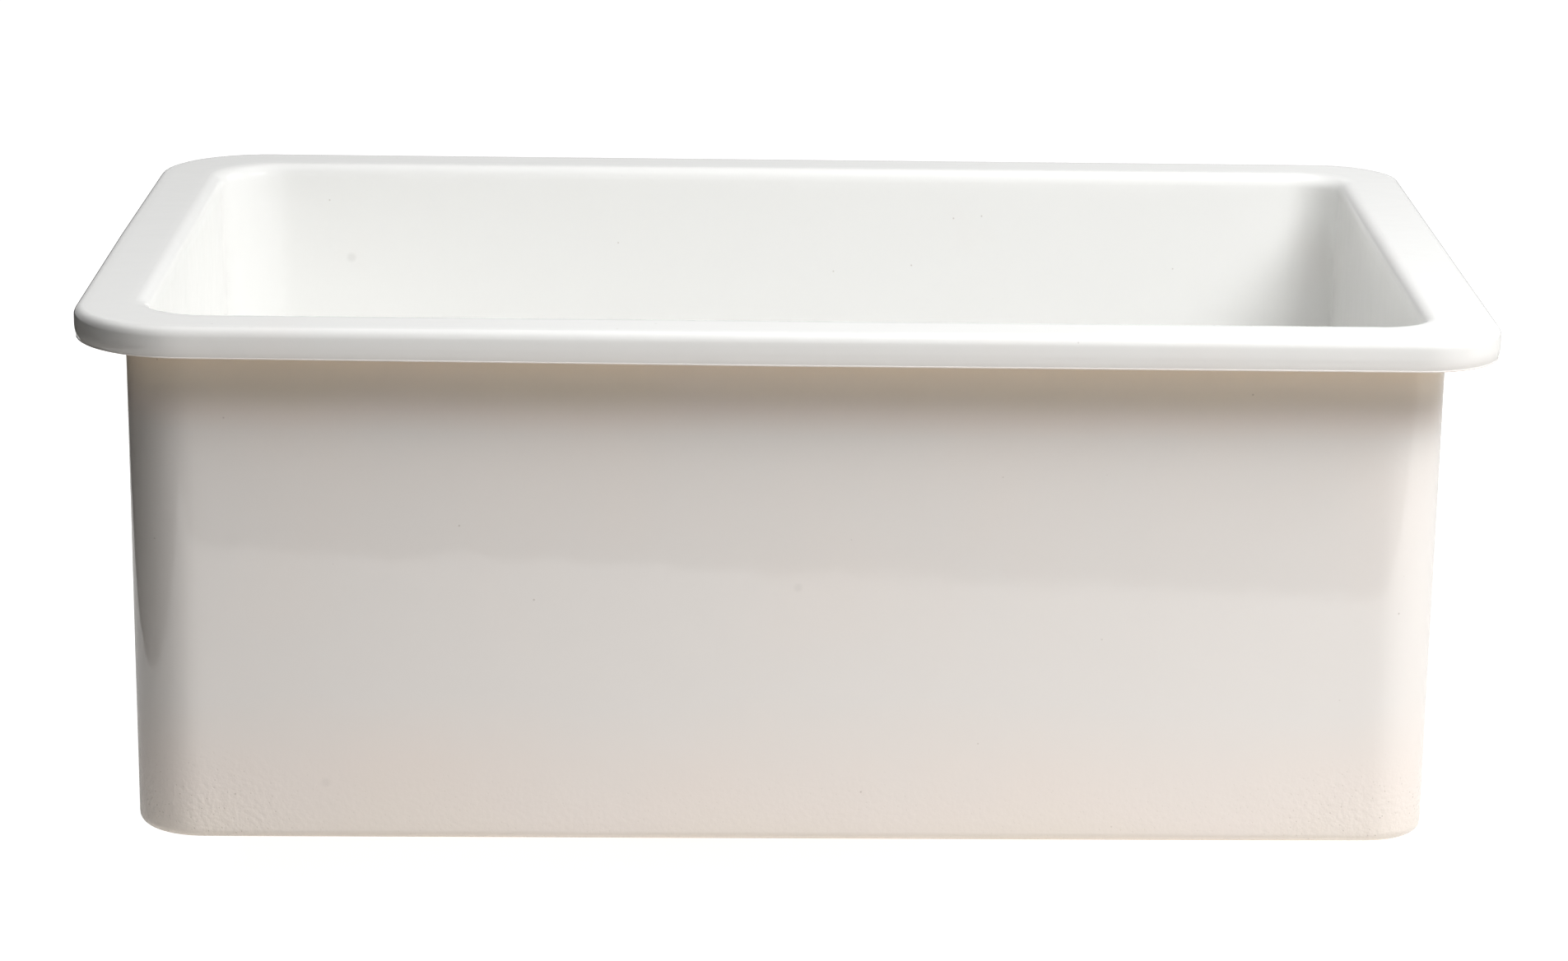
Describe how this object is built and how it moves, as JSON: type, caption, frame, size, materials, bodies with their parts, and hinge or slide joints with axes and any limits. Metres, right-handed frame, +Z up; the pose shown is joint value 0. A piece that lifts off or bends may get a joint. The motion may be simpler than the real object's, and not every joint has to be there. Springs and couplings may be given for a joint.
{
  "type": "undermount kitchen sink",
  "caption": "Single-bowl undermount fireclay sink with a flat flanged rim, deep drafted walls and a floor outlet fitted with a lift-out basket strainer.",
  "frame": {"origin": "centre of the rim's top face, the face that seats under a worktop", "axes": "+Z up out of the bowl, +X to the right along the long side, -Y towards the front wall"},
  "size_m": [0.686, 0.457, 0.3147],
  "materials": {
    "glazed_fireclay": "gloss off-white glaze, thin and tan under the rim and at the base edge",
    "satin_stainless": "drawn sheet, satin",
    "bright_stainless": "turned and polished",
    "cast_brass": "cast, machined on the threads",
    "plated_nut": "bright plate over brass",
    "black_rubber": "moulded, matt",
    "white_foam": "closed-cell foam",
    "red_fibre": "pressed vulcanised fibre",
    "washer_plastic": "natural polyethylene"
  },
  "bodies": {
    "sink": {"sink_bowl": "glazed_fireclay", "flange_seal": "white_foam", "strainer_body": "satin_stainless", "tail_nipple": "cast_brass", "under_gasket": "black_rubber", "friction_washer": "red_fibre", "lock_nut": "cast_brass", "slip_washer": "washer_plastic", "coupling_nut": "plated_nut"},
    "lift_basket": {"basket": "satin_stainless", "hub_bushing": "bright_stainless", "detent_ring": "bright_stainless"},
    "drop_stem": {"stem": "bright_stainless", "stem_knob": "bright_stainless", "backing_plate": "satin_stainless", "stopper": "black_rubber", "retaining_clip": "satin_stainless"}
  },
  "joints": [
    {"name": "basket_lift", "type": "slide", "parent": "sink", "child": "lift_basket", "axis": [0, 0, 1], "range_m": [0, 0.33]},
    {"name": "stem_lift", "type": "slide", "parent": "lift_basket", "child": "drop_stem", "axis": [0, 0, 1], "range_m": [0, 0.01]}
  ]
}
